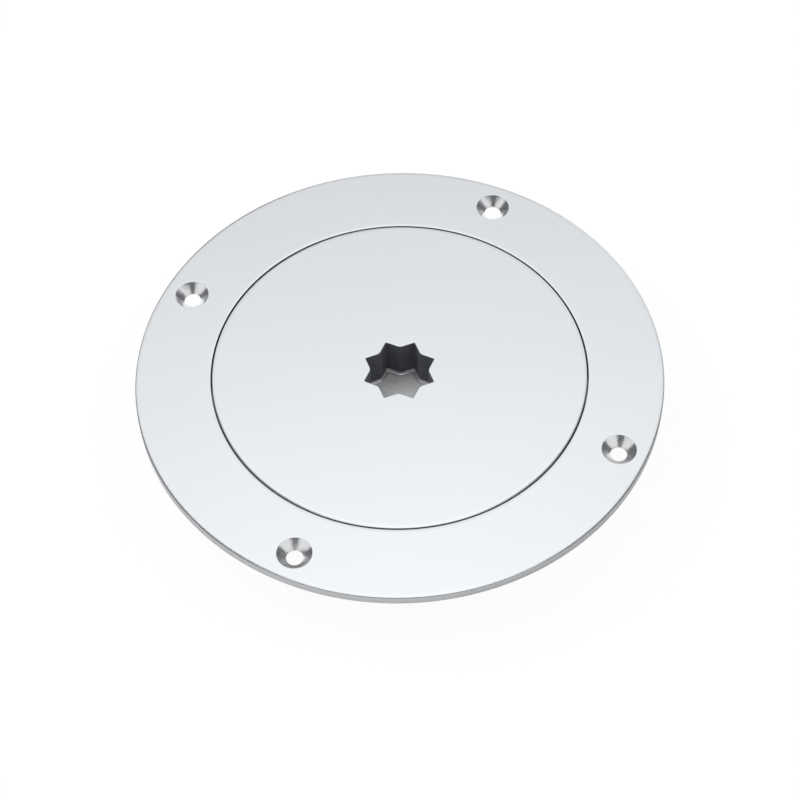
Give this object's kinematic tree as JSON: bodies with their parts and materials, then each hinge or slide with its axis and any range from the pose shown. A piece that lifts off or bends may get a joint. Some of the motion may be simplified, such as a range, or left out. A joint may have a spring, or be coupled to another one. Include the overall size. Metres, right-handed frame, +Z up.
{
  "type": "deck inspection plate",
  "caption": "Round flush inspection plate for a deck: a flanged ring with countersunk screw holes and a screw-in lid with a star socket for a winch handle.",
  "frame": {"origin": "on the ring's axis, in the plane of the deck, which is the underside of the flange", "axes": "+Z up out of the deck along the axis; +X through one of the four screw holes"},
  "size_m": [0.175, 0.175, 0.0222],
  "materials": {
    "ring_steel": "polished",
    "lid_steel": "polished",
    "seal_rubber": "matte"
  },
  "bodies": {
    "ring": {"deck_ring": "ring_steel"},
    "seal": {"lid_seal": "seal_rubber"},
    "lid": {"lid": "lid_steel"}
  },
  "joints": [
    {"name": "lid_rise", "type": "slide", "parent": "ring", "child": "seal", "axis": [0, 0, 1], "range_m": [0, 0.024]},
    {"name": "lid_turn", "type": "hinge", "parent": "seal", "child": "lid", "pos_m": [0, 0, 0], "axis": [0, 0, 1], "range_deg": [0, 2160]}
  ],
  "couplings": [
    {"joint": "lid_rise", "follows": "lid_turn", "m_per_rad": 0.00063662}
  ]
}
